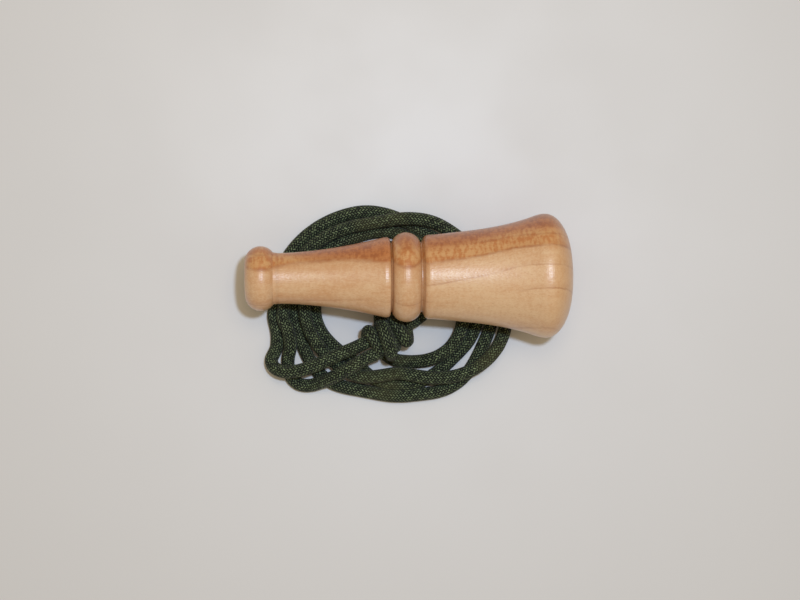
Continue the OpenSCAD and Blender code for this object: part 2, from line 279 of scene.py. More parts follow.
@dataclass(frozen=True)
class LacqueredCherry(Finish):
    """European cherry, turned between centres, sanded and sprayed with gloss lacquer.

    The eye sees a redder band over one side, a few thin brown lines where growth rings
    come out, short dashes of pores along the grain, a rippled figure in the band and a
    clear, soft coat. The three curves run from 0 at the mouth to 1 at the bell.
    """

    name: str = "cherry_turned_lacquered"
    pale: str = "#DDB88E"
    middle: str = "#CB986A"
    flame: str = "#D09B63"
    shade: str = "#BC743B"
    band: str = "#BA6E34"
    deep: str = "#994F20"
    line: str = "#9A5220"
    # Colour of the pooled lacquer, and of the painted shade in the neck, the joint and the groove.
    stain_and_shade: str = "#8A5328"
    lines: tuple[RingLine, ...] = (
        RingLine(0.0, -5.0, 105.0, 0.6, 0.8), RingLine(-6.0, 50.0, 105.0, 0.4),
        RingLine(-13.2, 80.0, 105.0, 0.5), RingLine(-11.4, -5.0, 60.0, 0.35),
        RingLine(3.6, -5.0, 105.0, 0.35), RingLine(7.4, -5.0, 105.0, 0.3),
        RingLine(12.5, -5.0, 105.0, 0.4), RingLine(-18.5, -5.0, 50.0, 0.3),
        RingLine(-24.0, -5.0, 105.0, 0.4),
    )
    fade: float = 8.0  # millimetres over which a line ends
    late_wood: float = 2.2  # millimetres over which the wood pales beside a line
    lean: Curve = (
        (0.0, 0.58), (0.12, 0.63), (0.42, 0.8), (0.5, 0.83), (0.57, 0.73),
        (0.65, 0.58), (0.74, 0.43), (0.82, 0.3), (0.89, 0.22), (1.0, 0.17),
    )
    upright: float = 0.333  # the lean at which the rings stand upright
    lean_turn: float = 60.0  # degrees that a lean of 1 stands for
    strong_line: Curve = (
        (0.0, 0.42), (0.09, 0.44), (0.13, 0.5), (0.24, 0.6), (0.42, 0.77), (0.49, 0.76),
        (0.57, 0.73), (0.74, 0.67), (0.82, 0.66), (0.89, 0.6), (1.0, 0.5),
    )
    redder: Curve = (
        (0.0, 0.5), (0.09, 0.5), (0.14, 0.2), (0.22, 0.04), (0.43, 0.03), (0.46, 0.33),
        (0.52, 0.33), (0.57, 0.25), (0.7, 0.33), (0.85, 0.43), (1.0, 0.43),
    )
    across: float = 12.0  # millimetres that 1 on the last two curves stands for
    length: float = 100.0
    neck: float = 9.9  # distance from the mouth, as are the joint and the groove
    joint: float = 44.6
    groove: float = 54.7
    drift: Pattern = Pattern(0.05, 0.11)
    shiver: Pattern = Pattern(0.5, 1.1, swing=0.6)
    broken: Pattern = Pattern(0.14, 0.3)
    fibres: Pattern = Pattern(0.12, 1 / 0.35, 3.0, 0.6, swing=0.6)
    streaks: Pattern = Pattern(0.03, 0.55, swing=0.7)
    blots: Pattern = Pattern(0.07, 0.18, swing=0.8)
    pores: Pattern = Pattern(0.9, 1 / 0.16, 0.0)
    ripples: Pattern = Pattern(1 / 0.95, 0.5, 1.0)
    specks: Pattern = Pattern(1.3, 2.4, 1.0, swing=0.7)

    def ring_depth(self, sums: Sums, place: Socket) -> Socket:
        """Distance across the growth rings, whose lean turns slowly along the call.

        Args:
            sums: Arithmetic of the tree.
            place: The place on the piece, in millimetres.

        Returns:
            The distance in millimetres, 0 at the strong line on the upper side.
        """
        x, y, z = sums.parts(place)
        along = sums("DIVIDE", x, self.length)
        lean = sums("SUBTRACT", sums.curve(along, self.lean), self.upright)
        angle = sums("MULTIPLY", lean, math.radians(self.lean_turn))
        start = sums("MULTIPLY", sums.curve(along, self.strong_line), self.across)
        across = sums.total(
            sums("MULTIPLY", y, sums("COSINE", angle)), sums("MULTIPLY", z, sums("SINE", angle)))
        return sums.total(
            sums("SUBTRACT", across, start), sums.swung(place, self.drift), sums.swung(place, self.shiver))

    def ring_lines(self, sums: Sums, place: Socket, depth: Socket) -> Socket:
        """Strength of the brown lines where growth rings come out.

        Args:
            sums: Arithmetic of the tree.
            place: The place on the piece, in millimetres.
            depth: Distance across the growth rings.

        Returns:
            The strength, from 0 between the lines to less than 1 on them.
        """
        x, _, _ = sums.parts(place)
        line = 0.0
        for ring in self.lines:
            thin = sums.near(depth, ring.depth, ring.width, 0.0, ring.strength)
            # The darker late wood fades slowly on one side of its line.
            past = sums("SUBTRACT", depth, ring.depth)
            pale = sums.ramp(past, self.late_wood, 0.0, 0.0, ring.strength * 0.3)
            late = sums("MULTIPLY", sums.ramp(past, -0.1, 0.1), pale)
            begun = sums.ramp(x, ring.start, ring.start + self.fade)
            there = sums("MULTIPLY", begun, sums.ramp(x, ring.end, ring.end - self.fade))
            line = sums("MAXIMUM", line, sums("MULTIPLY", sums("MAXIMUM", thin, late), there))
        broken = sums.ramp(sums.drawn(place, self.broken), 0.3, 0.62, 0.35, 1.0)
        return sums("MULTIPLY", line, broken)

    def pooled_and_shaded(self, sums: Sums, place: Socket) -> Socket:
        """Strength of the lacquer and dust that gather at the neck, the joint and the groove, and of the
        painted shade in these recesses.

        Args:
            sums: Arithmetic of the tree.
            place: The place on the piece, in millimetres.

        Returns:
            The strength, from 0 to 1.
        """
        x, y, z = sums.parts(place)
        away = sums("SQRT", sums.total(sums("MULTIPLY", y, y), sums("MULTIPLY", z, z)))
        # Only where the surface lies low, in the recesses, where painted shade stands in for the shadow
        # there.
        low = sums.ramp(away, 12.6, 11.0)
        deep = sums("MAXIMUM", sums.near(x, self.joint, 0.9, 0.1), sums.near(x, self.groove, 2.0, 0.8, 0.75))
        neck = sums("MULTIPLY", sums.near(x, self.neck, 0.9, 0.1), 0.3)
        return sums("MAXIMUM", sums("MULTIPLY", deep, low), neck)

    def shader(self, sums: Sums, place: Socket) -> dict:
        """Gives its inputs, as `Finish` says."""
        x, _, _ = sums.parts(place)
        depth = self.ring_depth(sums, place)
        fibres, streaks = sums.drawn(place, self.fibres), sums.drawn(place, self.streaks)
        specks = sums.drawn(place, self.specks)
        pore = sums.ramp(sums.drawn(place, self.pores), 0.66, 0.74)

        # Ripples stand across the grain, and show most in the redder band.
        in_band = sums("MULTIPLY", sums.ramp(depth, -0.3, 0.5), sums.ramp(depth, 16.0, 11.0))
        dashes = sums("SUBTRACT", sums.ramp(sums.drawn(place, self.ripples), 0.3, 0.7), 0.5)
        figure = sums("MULTIPLY", dashes, sums.total(sums("MULTIPLY", in_band, 0.5), 0.2))
        tone = sums.total(
            sums.swung(place, self.blots), sums.centred(streaks, self.streaks.swing), figure,
            sums.centred(fibres, self.fibres.swing), sums.centred(specks, self.specks.swing),
        )

        # The wood is darker from the ring bead to the mouth, and beside the strong line.
        rise = sums.total(sums.ramp(depth, -6.0, 0.0, 0.0, 0.3), sums.ramp(x, 62.0, 50.0, 0.0, 0.22))
        wood = sums.mix(sums.ramp(sums.total(tone, rise), -0.35, 0.75), self.pale, self.middle)
        streaked = sums.total(tone, sums.centred(streaks, 0.8))
        orange = sums.mix(sums.ramp(streaked, -0.5, 0.5), self.flame, self.shade)
        red = sums.mix(sums.ramp(streaked, -0.5, 0.6), self.band, self.deep)
        # The redder wood starts at the strong line on the cone and further in elsewhere.
        inner = sums("MULTIPLY", sums.curve(sums("DIVIDE", x, self.length), self.redder), self.across)
        orange = sums.mix(sums.ramp(sums("SUBTRACT", depth, inner), -1.4, 1.4), orange, red)
        wood = sums.mix(sums("MULTIPLY", in_band, 0.9), wood, orange)
        # End grain drinks more lacquer and turns a little darker.
        wood = sums.mix(sums.ramp(x, 88.0, 100.0, 0.0, 0.5), wood, self.flame)
        wood = sums.mix(self.ring_lines(sums, place, depth), wood, self.line)
        wood = sums.mix(sums("MULTIPLY", pore, 0.22), wood, self.line)
        # Pooled lacquer and painted shade darken the neck, the joint and the groove.
        wood = sums.mix(sums("MULTIPLY", self.pooled_and_shaded(sums, place), 0.52), wood, self.stain_and_shade)

        grain = sums("SUBTRACT", sums("MULTIPLY", fibres, 0.5), sums("MULTIPLY", pore, 0.7))
        peel = sums.total(
            sums.noise(place, 0.55), sums("MULTIPLY", specks, 1.1), sums("MULTIPLY", fibres, 0.06))
        return {
            "Base Color": wood, "Roughness": sums.total(sums("MULTIPLY", fibres, 0.14), 0.36), "IOR": 1.5,
            "Specular IOR Level": 0.2, "Normal": sums.bump(grain, 0.25, 0.08), "Coat Weight": 1.0,
            "Coat Roughness": 0.35, "Coat IOR": 1.5, "Coat Normal": sums.bump(peel, 0.4, 0.14),
        }


@dataclass(frozen=True)
class TurnedMaple(Finish):
    """Maple, turned and left bare: pale, close grained and dull."""

    name: str = "maple_turned_bare"
    pale: str = "#DCC8A0"
    deep: str = "#C3A878"
    fibres: Pattern = Pattern(0.25, 1 / 0.3, 3.0)
    cuts: Pattern = Pattern(5.0, 0.1, 1.0)

    def shader(self, sums: Sums, place: Socket) -> dict:
        """Gives its inputs, as `Finish` says."""
        fibres, cuts = sums.drawn(place, self.fibres), sums.drawn(place, self.cuts)
        return {
            "Base Color": sums.mix(sums.ramp(fibres, 0.3, 0.7), self.pale, self.deep),
            "Roughness": sums.ramp(fibres, 0.2, 0.8, 0.5, 0.7), "IOR": 1.5,
            "Normal": sums.bump(sums.total(fibres, cuts), 0.4, 0.1),
        }


@dataclass(frozen=True)
class WorkedBrass(Finish):
    """Brass sheet or wire, drawn or milled, with tool lines along it and a little tarnish."""

    lines: Pattern
    bright: str = "#D8B565"
    dull: str = "#A67F3C"
    roughness: float = 0.3

    def shader(self, sums: Sums, place: Socket) -> dict:
        """Gives its inputs, as `Finish` says."""
        tarnish = sums.noise(place, 0.45, 3.0)
        return {
            "Base Color": sums.mix(sums.ramp(tarnish, 0.42, 0.75, 0.0, 0.8), self.bright, self.dull),
            "Metallic": 1.0, "Roughness": sums.total(sums("MULTIPLY", tarnish, 0.25), self.roughness - 0.12),
            "Normal": sums.bump(sums.drawn(place, self.lines), 0.3, 0.06),
        }


@dataclass(frozen=True)
class MouldedRubber(Finish):
    """Black nitrile rubber, moulded: matt, with a faint grey bloom."""

    name: str = "nitrile_rubber_moulded"
    black: str = "#17181A"
    bloom: str = "#3A3B3C"

    def shader(self, sums: Sums, place: Socket) -> dict:
        """Gives its inputs, as `Finish` says."""
        dust = sums.noise(place, 1.2, 3.0)
        return {
            "Base Color": sums.mix(sums.ramp(dust, 0.5, 0.8, 0.0, 0.5), self.black, self.bloom),
            "Roughness": sums.ramp(dust, 0.3, 0.8, 0.45, 0.7),
            "Normal": sums.bump(sums.noise(place, 9.0, 1.0), 0.2, 0.03),
        }


@dataclass(frozen=True)
class PressedCork(Finish):
    """Cork cut to a wedge: soft tan cells with darker flecks."""

    name: str = "cork_cut"
    tan: str = "#C39A6C"
    fleck: str = "#7C5433"
    cell: float = 0.5

    def shader(self, sums: Sums, place: Socket) -> dict:
        """Gives its inputs, as `Finish` says."""
        voronoi = add(sums.tree, "ShaderNodeTexVoronoi", {"Vector": place, "Scale": 1 / self.cell})
        cells = voronoi.outputs["Distance"]
        flecks = sums.ramp(sums.noise(place, 0.9, 3.0), 0.55, 0.68)
        return {
            "Base Color": sums.mix(sums("MULTIPLY", flecks, 0.8), self.tan, self.fleck),
            "Roughness": sums.ramp(cells, 0.0, 0.6, 0.75, 0.95), "Normal": sums.bump(cells, 0.6, 0.2),
        }


@dataclass(frozen=True)
class Braid:
    """Two crossing sets of strands, each over two and under two, round a cord.

    Counted round the cord the crossings stand in columns, and the columns lean by
    turns to the left and to the right, which gives the herringbone.
    """

    strands: int = 16
    crossings: float = 1.0  # to each millimetre of cord, for each set

    def height(self, around: np.ndarray, along: np.ndarray) -> np.ndarray:
        """Height of the braid, the same as the material draws.

        Args:
            around: Share of the way round the cord.
            along: Millimetres along the cord.

        Returns:
            Heights from 0 in the valleys to 1 on the crowns.
        """
        a = around * self.strands + along * self.crossings
        b = around * self.strands - along * self.crossings
        rest = np.mod(np.floor(a) + np.floor(b), 4.0)
        over = rest < 1.5
        fa, fb = a - np.floor(a), b - np.floor(b)
        across = np.where(over, fa, fb)
        bow = np.where(over, (rest + fb) / 2, (rest - 2 + fa) / 2)
        return (1 - (2 * across - 1) ** 2) * (0.5 + 0.5 * (1 - (2 * bow - 1) ** 2))


@dataclass(frozen=True)
class BraidedPolyester(Finish):
    """Dark olive polyester, spun and braided round a core, dull, with painted shade in the braid's valleys
    and lighter crowns of painted sheen and wear.
    """

    name: str = "polyester_braided_olive"
    braid: Braid = Braid()
    valley_shade: str = "#080B06"
    body: str = "#192117"
    crown_sheen_and_wear: str = "#83936A"
    faded: str = "#54502F"
    age: Pattern = Pattern(0.05, 0.05, 1.0)

    def shader(self, sums: Sums, place: Socket) -> dict:
        """Gives its inputs, as `Finish` says. The cord's map is its share round by metres along."""
        around, along, _ = sums.parts(add(sums.tree, "ShaderNodeUVMap", uv_map="cord").outputs[0])
        count = float(self.braid.strands)
        turned = sums("MULTIPLY", around, count)
        run = sums("MULTIPLY", along, self.braid.crossings / MM)
        a, b = sums.total(turned, run), sums("SUBTRACT", turned, run)
        ia, ib, fa, fb = sums("FLOOR", a), sums("FLOOR", b), sums("FRACT", a), sums("FRACT", b)
        rest = sums("FLOORED_MODULO", sums.total(ia, ib), 4.0)
        over = sums("LESS_THAN", rest, 1.5)
        under = sums("SUBTRACT", 1.0, over)

        def pick(first: Socket, second: Socket) -> Socket:
            """Takes the first value where set a lies on top, and else the second."""
            return sums.total(sums("MULTIPLY", first, over), sums("MULTIPLY", second, under))

        across = pick(fa, fb)
        passed = sums("SUBTRACT", rest, sums("MULTIPLY", under, 2.0))
        bow = sums("DIVIDE", sums.total(passed, pick(fb, fa)), 2.0)
        height = sums("MULTIPLY", sums.arch(across), sums.total(sums("MULTIPLY", sums.arch(bow), 0.5), 0.5))
        # Each strand takes the dye a little differently.
        strand = pick(sums("FLOORED_MODULO", ia, count), sums.total(sums("FLOORED_MODULO", ib, count), 40.0))
        dye = add(sums.tree, "ShaderNodeTexWhiteNoise", {"W": strand}, noise_dimensions="1D").outputs["Value"]
        # Filaments, drawn about four times as coarse as they are, so that they show.
        hairs = sums("ABSOLUTE", sums("SINE", sums("MULTIPLY", across, math.pi * 3)))
        tone = sums.total(
            sums("MULTIPLY", height, 0.75), sums.centred(sums.noise(place, 1.1, 1.0), 0.45),
            sums.centred(dye, 0.2), sums.centred(hairs, 0.12),
        )
        # By the braid's height, the valleys take painted shade and the crowns painted sheen with a little
        # wear.
        cloth = sums.mix(sums.ramp(tone, 0.15, 0.5), self.valley_shade, self.body)
        cloth = sums.mix(sums.ramp(tone, 0.45, 0.95), cloth, self.crown_sheen_and_wear)
        age = sums.ramp(sums.drawn(place, self.age), 0.5, 0.7)
        cloth = sums.mix(sums("MULTIPLY", age, 0.3), cloth, self.faded)
        relief = sums.total(height, sums("MULTIPLY", hairs, 0.15))
        return {
            "Base Color": cloth, "Roughness": sums.ramp(height, 0.0, 1.0, 0.85, 0.6), "IOR": 1.5,
            "Specular IOR Level": 0.25, "Normal": sums.bump(relief, 0.8, 0.22), "Sheen Weight": 0.05,
            "Sheen Roughness": 0.4,
        }


@dataclass(frozen=True)
class FusedPolyester(Finish):
    """The cord's cut end, melted with a flame: hard, dark and a little shiny."""

    name: str = "polyester_melted"
    dark: str = "#15180F"
    light: str = "#2C3122"

    def shader(self, sums: Sums, place: Socket) -> dict:
        """Gives its inputs, as `Finish` says."""
        lumps = sums.noise(place, 0.9, 3.0)
        return {
            "Base Color": sums.mix(lumps, self.dark, self.light),
            "Roughness": sums.ramp(lumps, 0.3, 0.7, 0.3, 0.5), "Normal": sums.bump(lumps, 0.6, 0.3),
        }


@dataclass(frozen=True)
class WhiteBoard(Finish):
    """White coated board that the call lies on: smooth, with a soft gloss."""

    name: str = "board_coated_white"
    white: str = "#D6D4D2"
    shade: str = "#D3D1CF"

    def shader(self, sums: Sums, place: Socket) -> dict:
        """Gives its inputs, as `Finish` says."""
        cloud = sums.noise(place, 0.02, 3.0)
        return {
            "Base Color": sums.mix(cloud, self.white, self.shade),
            "Roughness": sums.ramp(cloud, 0.3, 0.7, 0.42, 0.5), "IOR": 1.45,
        }


def unit(v: np.ndarray) -> np.ndarray:
    """Scales a vector to length 1."""
    return v / np.linalg.norm(v)


def smooth(share: np.ndarray) -> np.ndarray:
    """Eases a share in and out between 0 and 1."""
    held = np.clip(share, 0.0, 1.0)
    return held * held * (3 - 2 * held)


def spline(route: Sequence[Sequence[float]], steps: int) -> np.ndarray:
    """Draws a smooth curve through the points of a route.

    Args:
        route: Points, in millimetres.
        steps: Pieces between one point and the next.

    Returns:
        The curve's points.
    """
    points = [np.array(p, float) for p in route]
    drawn = []
    for i in range(len(points) - 1):
        p0, p1, p2 = points[max(i - 1, 0)], points[i], points[i + 1]
        p3 = points[min(i + 2, len(points) - 1)]
        for k in range(steps):
            t = k / steps
            drawn.append(0.5 * (2 * p1 + (p2 - p0) * t + (2 * p0 - 5 * p1 + 4 * p2 - p3) * t * t
                                + (3 * p1 - p0 - 3 * p2 + p3) * t**3))
    return np.array([*drawn, points[-1]])


def over_table(route: Sequence[Point]) -> list[np.ndarray]:
    """Turns a route whose heights count from the table into one about the turning axis."""
    return [np.array(point) + (0, 0, -AXIS_HEIGHT) for point in route]


def run_length(points: np.ndarray) -> np.ndarray:
    """Gives how far along a line of points each of them is."""
    return np.concatenate([[0.0], np.cumsum(np.linalg.norm(np.diff(points, axis=0), axis=1))])


def even(points: np.ndarray, gap: float) -> np.ndarray:
    """Spaces points evenly along a line and rounds its corners off.

    Args:
        points: The line's points, in millimetres.
        gap: The distance that is wanted between two points.

    Returns:
        The new points, with the same ends.
    """
    run = run_length(points)
    count = max(int(run[-1] / gap), FEWEST_STEPS)
    wanted = np.linspace(0, run[-1], count + 1)
    line = np.stack([np.interp(wanted, run, points[:, k]) for k in range(3)], 1)
    reach = max(1, round(ROUNDING / gap))
    weights = np.hanning(2 * reach + 3)[1:-1]
    weights /= weights.sum()
    before, after = 2 * line[:1] - line[reach:0:-1], 2 * line[-1:] - line[-2 : -reach - 2 : -1]
    padded = np.concatenate([before, line, after])
    return np.stack([np.convolve(padded[:, k], weights, mode="valid") for k in range(3)], 1)


@dataclass
class Studio:
    """Camera, lamps and the white board under the call.

    The camera looks straight down, a little from the mouthpiece's side. The key lamp
    stands just up and to the right of it, as a flash on the camera would.
    """

    aim: Point = (47.4, -7.0, 0.0)
    distance: float = 600.0
    lean: float = 2.8  # degrees, as is the roll
    roll: float = 0.6
    view_width: float = 245.4  # at the aim
    sensor: float = 36.0
    key_at: Point = (90.0, 60.0, 600.0)
    key_size: float = 36.0
    key_power: float = 2.22
    key_colour: str = "#C2D9F6"
    window_at: Point = (70.0, 105.0, 560.0)
    window_size: float = 260.0
    window_power: float = 0.72
    window_colour: str = "#FFE8C4"
    room_colour: str = "#FFEBC8"
    surround: float = 0.42  # brightness of the room on matt surfaces
    reflected: float = 0.4  # the same in reflections
    backdrop: float = 0.9  # the same straight to the camera
    board_r: float = 3000.0
    board_corners: int = 64

    def camera(self) -> None:
        """Sets the camera up over the call."""
        data = bpy.data.cameras.new("camera")
        data.sensor_width = self.sensor
        data.lens = self.sensor * self.distance / self.view_width
        camera = bpy.data.objects.new("camera", data)
        bpy.context.collection.objects.link(camera)
        lean = math.radians(self.lean)
        back = Vector((-math.sin(lean), 0.0, math.cos(lean)))
        roll = math.radians(self.roll)
        side = Vector((math.sin(roll), math.cos(roll), 0.0)).cross(back).normalized()
        turned = Matrix((side, back.cross(side), back)).transposed().to_4x4()
        camera.matrix_world = Matrix.Translation((Vector(self.aim) + back * self.distance) * MM) @ turned
        bpy.context.scene.camera = camera
        LOG.info("camera %.0f mm over the table", self.distance + AXIS_HEIGHT)

    def lamp(self, name: str, at: Point, size: float, power: float, colour: str) -> None:
        """Hangs a round lamp that faces the point that the camera aims at.

        Args:
            name: The lamp's name.
            at: Where it hangs, in millimetres.
            size: Its diameter, in millimetres.
            power: Its power, in watts.
            colour: Its colour, as sRGB hex.
        """
        data = bpy.data.lights.new(name, "AREA")
        data.shape = "DISK"
        data.size = size * MM
        data.energy = power
        data.color = linear(colour)[:3]
        lamp = bpy.data.objects.new(name, data)
        bpy.context.collection.objects.link(lamp)
        place = Vector(at) * MM
        lamp.location = place
        lamp.rotation_mode = "QUATERNION"
        lamp.rotation_quaternion = (place - Vector(self.aim) * MM).to_track_quat("Z", "Y")

    def surroundings(self) -> None:
        """Sets the pale surroundings that fill the shadows."""
        world = bpy.data.worlds.new("studio")
        world.use_nodes = True
        tree = world.node_tree
        tree.nodes.clear()
        rays = add(tree, "ShaderNodeLightPath")
        sums = Sums(tree)
        seen = sums("MULTIPLY", rays.outputs["Is Camera Ray"], self.backdrop - self.surround)
        gloss = sums("MULTIPLY", rays.outputs["Is Glossy Ray"], self.reflected - self.surround)
        strength = sums.total(seen, self.surround, gloss)
        glow = add(tree, "ShaderNodeBackground", {"Color": linear(self.room_colour), "Strength": strength})
        add(tree, "ShaderNodeOutputWorld", {"Surface": glow.outputs[0]})
        bpy.context.scene.world = world
        LOG.info("pale surroundings")

    def board(self) -> None:
        """Lays the white board under the call."""
        mesh = bpy.data.meshes.new("board")
        reach = self.board_r * MM
        angles = np.linspace(0, 2 * math.pi, self.board_corners + 1)[:-1]
        rim = [(math.cos(a) * reach, math.sin(a) * reach, -AXIS_HEIGHT * MM) for a in angles]
        mesh.from_pydata(rim, [], [list(range(self.board_corners))])
        mesh.materials.append(WhiteBoard().make())
        board = bpy.data.objects.new("board", mesh)
        bpy.context.collection.objects.link(board)
        LOG.info("board")

    def build(self) -> None:
        """Sets up the whole studio."""
        self.camera()
        self.lamp("key", self.key_at, self.key_size, self.key_power, self.key_colour)
        self.lamp("window", self.window_at, self.window_size, self.window_power, self.window_colour)
        self.surroundings()
        self.board()
        bpy.context.scene.view_settings.view_transform = "Standard"


@dataclass
class Tube:
    """A braided cord along a line, with the braid raised on its surface."""

    radius: float  # over the braid's crowns
    braid: Braid
    cloth: bpy.types.Material
    sides: int = 32
    gap: float = 0.45  # between one ring and the next
    relief: float = 0.16
    floor: float = -AXIS_HEIGHT
    steep: float = 0.9  # rise of a line's first step that counts as upright

    def rings(self, line: np.ndarray) -> tuple[np.ndarray, np.ndarray, np.ndarray]:
        """Places the rings of the tube.

        Args:
            line: Evenly spaced points, in millimetres.

        Returns:
            Vertices by ring and side, shares of the way round, and millimetres along.
        """
        ahead = np.gradient(line, axis=0)
        ahead /= np.linalg.norm(ahead, axis=1)[:, None]
        side = np.zeros_like(line)
        last = np.cross(ahead[0], (0, 0, 1.0) if abs(ahead[0][2]) < self.steep else (1.0, 0, 0))
        for i, way in enumerate(ahead):
            last = unit(last - way * np.dot(last, way))
            side[i] = last
        up = np.cross(side, ahead)
        around = np.arange(self.sides) / self.sides
        along = run_length(line)
        high = self.braid.height(around[None, :], along[:, None])
        reach = self.radius - self.relief * (1 - high)
        c, s = np.cos(2 * np.pi * around), np.sin(2 * np.pi * around)
        spoke = c[None, :, None] * side[:, None, :] + s[None, :, None] * up[:, None, :]
        points = line[:, None, :] + reach[:, :, None] * spoke
        points[:, :, 2] = np.maximum(points[:, :, 2], self.floor)
        return points, around, along

    def build(
        self, name: str, route: np.ndarray, start_at: float = 0.0,
    ) -> tuple[bpy.types.Object, np.ndarray]:
        """Makes the cord's object.

        Args:
            name: The object's name.
            route: The cord's centreline, in millimetres.
            start_at: Where the braid's map starts, in millimetres of cord.

        Returns:
            The object and the evenly spaced centreline.
        """
        line = even(route, self.gap)
        points, around, along = self.rings(line)
        count, sides = len(line), self.sides
        ends = np.array([line[0], line[-1]])
        vertices = np.concatenate([points.reshape(-1, 3), ends]) * MM
        i, k = np.meshgrid(np.arange(count - 1), np.arange(sides), indexing="ij")
        a, b = i * sides + k, i * sides + (k + 1) % sides
        walls = np.stack([a, b, b + sides, a + sides], -1).reshape(-1, 4)
        first = [(count * sides, (k + 1) % sides, k) for k in range(sides)]
        last_ring = (count - 1) * sides
        last = [(count * sides + 1, last_ring + k, last_ring + (k + 1) % sides) for k in range(sides)]
        mesh = bpy.data.meshes.new(name)
        mesh.from_pydata(vertices.tolist(), [], walls.tolist() + first + last)
        run = (along + start_at) * MM
        u0, u1, v0, v1 = k / sides, (k + 1) / sides, run[i], run[i + 1]
        flat = np.stack([u0, v0, u1, v0, u1, v1, u0, v1], -1).reshape(-1)
        caps = [0.5, run[0]] * (3 * sides) + [0.5, run[-1]] * (3 * sides)
        uv = mesh.uv_layers.new(name="cord")
        uv.data.foreach_set("uv", np.concatenate([flat, caps]).astype(np.float32))
        mesh.polygons.foreach_set("use_smooth", [True] * len(mesh.polygons))
        mesh.update()
        mesh.materials.append(self.cloth)
        piece = bpy.data.objects.new(name, mesh)
        bpy.context.collection.objects.link(piece)
        return piece, line


@dataclass
class Lanyard:
    """The neck lanyard: one doubled cord, wound in a flat coil under the call.

    Both legs leave the knot, cross the front of the coil and wind in side by side.
    The upper leg rides over the lower one where they change places, and a link under
    the call and the knot joins their inner ends. A bight goes through the screw eye.
    Angles are in degrees, and heights in the tables count from the table's top.
    """

    cord_r: float = 2.12
    pitch: float = 4.2
    half_length: float = 29.15
    half_width: float = 22.9
    centre: tuple[float, float] = (45.35, -10.4)
    tilt: float = -11.0
    start: float = 188.0
    middle: float = 2.55  # the place, in strands, that lies on the oval
    points_per_turn: int = 120
    nest_share: float = 0.32  # how much closer the strands lie at the tightest angle
    nest_at: float = 195.0
    nest_before: float = 110.0
    nest_after: float = 90.0
    crowd_share: float = 0.008
    ride_share: float = 1.03
    ride_reach: float = 0.03
    ride_points: int = 7  # that each height is averaged over
    link_r: float = 6.5
    lower_link_points: int = 12
    upper_link_points: int = 10
    lead_steps: int = 8  # from one point of its table to the next, as in the bight and the tail
    bight_steps: int = 10
    tail_steps: int = 6
    bight_braid: float = 900.0  # millimetres of cord at which its braid starts, as for the next two
    knot_braid: float = 1000.0
    tail_braid: float = 1200.0
    base: float = 1.9
    turns: dict[Leg, tuple[float, float]] = field(
        default_factory=lambda: {Leg.LOWER: (1 / 24, 52 / 24), Leg.UPPER: (1 / 24, 42 / 24)})
    swaps: dict[Leg, Sequence[Shift]] = field(default_factory=lambda: {
        Leg.LOWER: (Shift(0.22, 0.14, 1), Shift(0.56, 0.14, -1), Shift(1.6, 0.14, -1), Shift(1.77, 0.12, 1)),
        Leg.UPPER: (Shift(0.22, 0.14, -1), Shift(0.57, 0.2, 2), Shift(0.8, 0.14, -1)),
    })
    nudges: dict[Leg, Sequence[Shift]] = field(default_factory=lambda: {
        Leg.LOWER: (
            Shift(0.53, 0.06, -0.25), Shift(0.64, 0.04, -0.15), Shift(0.72, 0.04, 0.15),
            Shift(0.89, 0.05, -0.8), Shift(0.94, 0.05, -0.4), Shift(1.27, 0.07, -0.5),
            Shift(1.53, 0.07, -0.2), Shift(1.82, 0.05, -0.2), Shift(1.93, 0.05, 0.1)),
        Leg.UPPER: (
            Shift(0.53, 0.05, -0.35), Shift(0.84, 0.06, -0.8), Shift(1.21, 0.05, 0.2),
            Shift(1.27, 0.08, -0.4), Shift(1.66, 0.12, -0.4)),
    })
    lead_a: Sequence[Point] = (
        (38.8, -19.2, 9.4), (34.5, -21.4, 9.6), (28.6, -23.8, 10.0), (22.5, -26.6, 9.7), (17.0, -28.5, 8.8),
        (12.2, -29.1, 7.2), (8.7, -28.0, 4.8), (7.5, -25.4, 2.8), (9.1, -22.0, 2.0), (9.5, -18.6, 1.9),
        (9.1, -15.0, 1.9),
    )
    lead_b: Sequence[Point] = (
        (41.4, -23.2, 10.2), (37.4, -24.8, 11.2), (32.4, -27.8, 11.2), (27.6, -30.5, 9.0), (23.6, -32.4, 4.6),
        (19.8, -33.6, 2.2), (16.4, -33.3, 1.9), (13.9, -31.2, 1.9), (12.9, -28.4, 1.9), (12.8, -25.2, 2.4),
        (13.6, -21.0, 4.2), (12.9, -16.0, 5.0),
    )
    bight: Sequence[Point] = (
        (49.0, -15.2, 8.6), (54.0, -12.6, 6.0), (58.0, -8.0, 4.5), (58.0, -2.8, 4.6),
        (54.0, 0.0, 5.1), (49.8, -2.4, 4.4), (47.0, -7.0, 5.0), (45.8, -12.4, 7.8),
    )
    tail: Sequence[Point] = (
        (42.2, -14.4, 12.0), (42.8, -16.6, 14.6), (43.6, -19.2, 15.4), (44.5, -22.0, 14.4),
        (45.0, -24.6, 12.0),
    )
    knot_at: Point = (44.0, -18.2, 10.0)
    knot_lean: float = 18.0
    wrap_steps: int = 120
    wrap_start: float = -60.0
    wrap_angle: float = 1050.0  # nearly three turns
    wrap_from: float = -6.0  # along the knot, from its middle
    wrap_run: float = 12.2
    wrap_r: float = 3.3
    wrap_swell: float = 0.6
    wrap_height_share: float = 0.75
    melt: float = 1.4  # how far the flame melted the cut end
    braid: Braid = field(default_factory=Braid)

    def place(self, turns: np.ndarray, leg: Leg) -> np.ndarray:
        """Place of a leg in the bundle, counted inwards in strands."""
        moved = sum(swap.places * smooth((turns - swap.at) / swap.over) for swap in self.swaps[leg])
        off = sum(n.places * np.exp(-(((turns - n.at) / n.over) ** 2)) for n in self.nudges[leg])
        return 2 * turns + leg.value + moved + off

